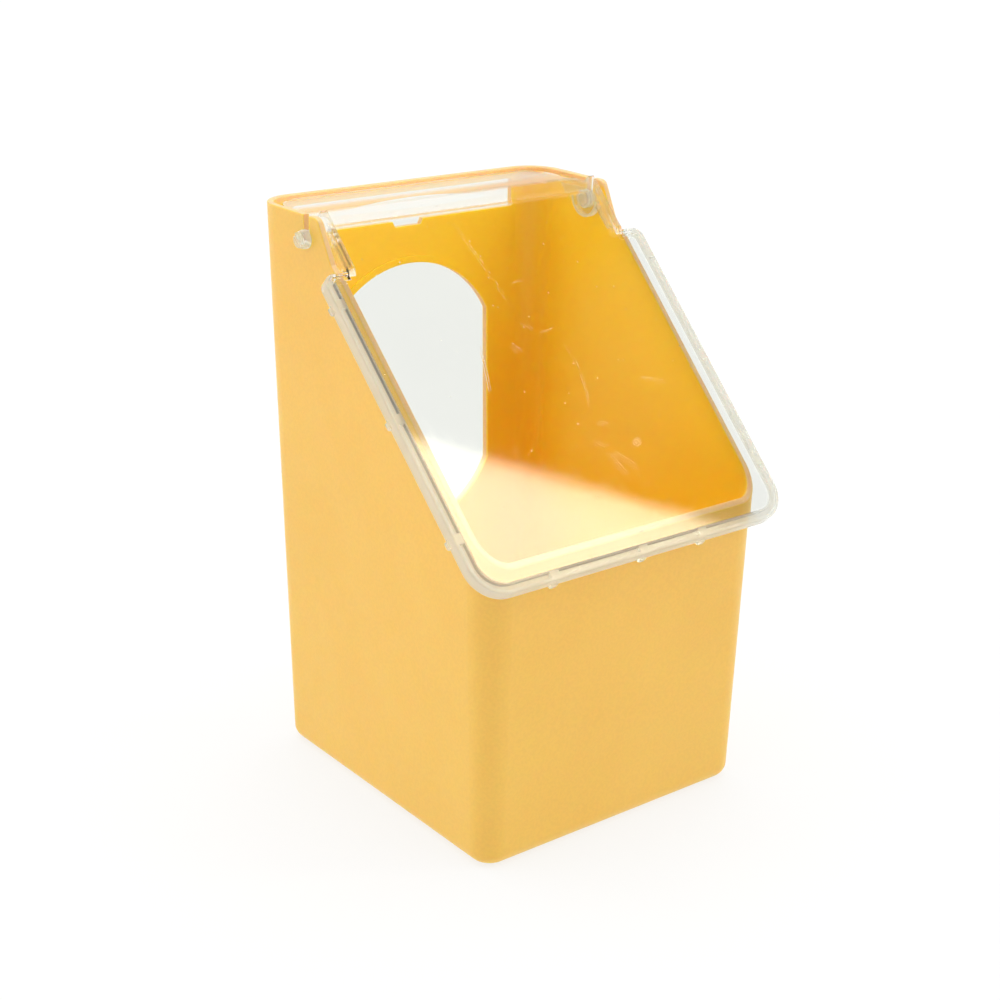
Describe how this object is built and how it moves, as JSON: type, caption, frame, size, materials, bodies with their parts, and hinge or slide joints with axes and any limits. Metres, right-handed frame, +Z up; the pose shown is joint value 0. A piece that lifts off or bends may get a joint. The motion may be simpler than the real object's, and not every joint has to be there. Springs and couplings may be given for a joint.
{
  "type": "rabbit hopper feeder",
  "caption": "Tall hopper feeder with a slanted mouth under a clear hinged lid, an arched feeding opening in its back wall and a hanger slot near the rim.",
  "frame": {"origin": "centre of the base, on the surface the feeder stands on", "axes": "+Z up, -Y the low front under the slanted lid, +Y the back wall with the feeding opening, +X to the right seen from the front"},
  "size_m": [0.1202, 0.1206, 0.1792],
  "materials": {
    "hopper_plastic": "moulded polypropylene, satin, warm yellow",
    "clear_plastic": "clear polystyrene, glossy, fine scratches"
  },
  "bodies": {
    "hopper": {"hopper_body": "hopper_plastic"},
    "lid": {"lid": "clear_plastic", "hinge_pin_left": "clear_plastic", "hinge_pin_right": "clear_plastic"}
  },
  "joints": [
    {"name": "lid_hinge", "type": "hinge", "parent": "hopper", "child": "lid", "pos_m": [0, 0.0285, 0.1711], "axis": [-1, 0, 0], "range_deg": [0, 180]}
  ]
}
